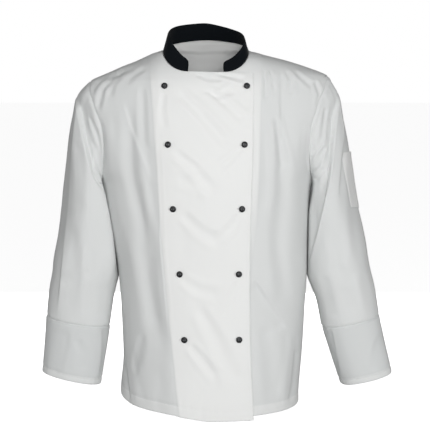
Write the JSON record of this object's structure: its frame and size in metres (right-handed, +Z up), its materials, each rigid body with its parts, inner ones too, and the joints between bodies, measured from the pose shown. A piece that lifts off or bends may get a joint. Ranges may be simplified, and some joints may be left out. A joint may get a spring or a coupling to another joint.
{
  "type": "chef jacket",
  "caption": "White double-breasted chef jacket in its worn, hollow form, with a black stand collar, black stud buttons, deep cuffs and a sleeve pen pocket.",
  "frame": {"origin": "middle of the neck's base, level with the two points where the shoulder seams meet the collar", "axes": "+Z up, -Y out of the front, +X towards the wearer's left side"},
  "size_m": [0.7185, 0.2782, 0.7889],
  "materials": {
    "white_cloth": "plain-woven cotton and polyester, matt",
    "black_cloth": "black woven cotton and polyester, matt",
    "black_plastic": "smooth black, half gloss"
  },
  "bodies": {
    "root": {"front_right": "white_cloth", "front_left": "white_cloth", "back": "white_cloth", "sleeve_right": "white_cloth", "sleeve_left": "white_cloth", "cuff_right": "white_cloth", "cuff_left": "white_cloth", "pen_pocket": "white_cloth", "collar": "black_cloth", "stud_right_1": "black_plastic", "stud_right_2": "black_plastic", "stud_right_3": "black_plastic", "stud_right_4": "black_plastic", "stud_right_5": "black_plastic", "stud_left_1": "black_plastic", "stud_left_2": "black_plastic", "stud_left_3": "black_plastic", "stud_left_4": "black_plastic", "stud_left_5": "black_plastic"}
  },
  "joints": []
}
